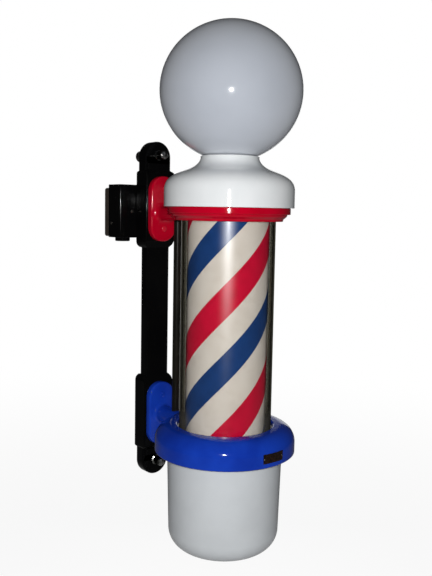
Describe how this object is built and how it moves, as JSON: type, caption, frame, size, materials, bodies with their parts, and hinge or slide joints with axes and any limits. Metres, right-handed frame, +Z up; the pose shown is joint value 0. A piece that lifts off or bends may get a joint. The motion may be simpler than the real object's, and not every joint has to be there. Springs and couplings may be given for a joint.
{
  "type": "barber pole",
  "caption": "Wall-hung barber pole: an opal globe over a clear glass cylinder with a motor-driven striped drum, on a cast wall rail with a box.",
  "frame": {"origin": "middle of the back plate's rear face, on the wall", "axes": "+Z up along the pole, +Y into the wall, so the pole stands in front at -Y and +X is to the right seen from the front"},
  "size_m": [0.31, 0.5265, 1.1646],
  "materials": {
    "white_enamel": "gloss white enamel",
    "red_enamel": "gloss red enamel on a casting",
    "blue_enamel": "gloss blue enamel on a casting",
    "black_enamel": "gloss black enamel on a casting",
    "brown_paint": "dark brown paint",
    "plate_metal": "dull grey-brown paint",
    "dull_steel": "dull dark steel",
    "zinc_steel": "zinc plated steel",
    "brass": "turned brass",
    "opal_glass": "opal white glass",
    "clear_glass": "clear glass",
    "lamp_glass": "white coated lamp glass",
    "drum_cream": "cream satin",
    "stripe_red": "red satin",
    "stripe_navy": "navy satin",
    "white_nylon": "natural nylon",
    "porcelain": "glazed white",
    "case_grey": "grey paint",
    "packing": "pale packing ring"
  },
  "bodies": {
    "stand": {"back_plate": "plate_metal", "wall_box": "black_enamel", "box_side_screws": "zinc_steel", "box_front_screws": "zinc_steel", "conduit_hub": "black_enamel", "rail_bolts": "zinc_steel", "wall_rail": "black_enamel", "lobe_bolts": "dull_steel", "lobe_spacers": "dull_steel", "red_pad_screws": "red_enamel", "blue_pad_screws": "blue_enamel", "upper_collar": "red_enamel", "lower_collar": "blue_enamel", "conduit_tube": "brown_paint", "nameplate": "plate_metal", "nameplate_rivets": "dull_steel", "glass_cylinder": "clear_glass", "upper_gasket": "packing", "lower_gasket": "packing", "top_cap": "white_enamel", "globe_holder": "zinc_steel", "globe_screws": "brass", "globe_lampholder": "porcelain", "globe_lamp": "lamp_glass", "centre_stem": "zinc_steel", "stem_nuts": "brass", "upper_bush": "brass", "lower_bush": "brass", "gearmotor": "zinc_steel", "motor_posts": "brass", "motor_screws": "zinc_steel", "motor_plate": "zinc_steel", "plate_screws": "zinc_steel", "drum_lamp": "lamp_glass", "lower_lampholder": "porcelain", "upper_lampholder": "porcelain", "lampholder_arms": "zinc_steel", "ballast": "case_grey", "terminal_block": "porcelain"},
    "drum": {"drum": "drum_cream", "red_stripes": "stripe_red", "blue_stripes": "stripe_navy", "drum_hoop": "white_nylon", "turntable": "white_nylon", "turntable_screws": "zinc_steel", "drum_gear": "white_nylon"},
    "pinion": {"pinion": "brass", "motor_shaft": "zinc_steel"},
    "globe": {"globe": "opal_glass"},
    "cup": {"bottom_cup": "white_enamel", "cup_washer": "zinc_steel", "cup_nut": "brass"}
  },
  "joints": [
    {"name": "drum_spin", "type": "hinge", "parent": "stand", "child": "drum", "pos_m": [0, -0.37, 0], "axis": [0, 0, 1], "continuous": true},
    {"name": "pinion_spin", "type": "hinge", "parent": "stand", "child": "pinion", "pos_m": [0.05712, -0.37, 0], "axis": [0, 0, 1], "continuous": true},
    {"name": "globe_lift", "type": "slide", "parent": "stand", "child": "globe", "axis": [0, 0, 1], "range_m": [0, 0.16]},
    {"name": "cup_drop", "type": "slide", "parent": "stand", "child": "cup", "axis": [0, 0, -1], "range_m": [0, 0.24]}
  ],
  "couplings": [
    {"joint": "pinion_spin", "follows": "drum_spin", "ratio": -3.75}
  ]
}
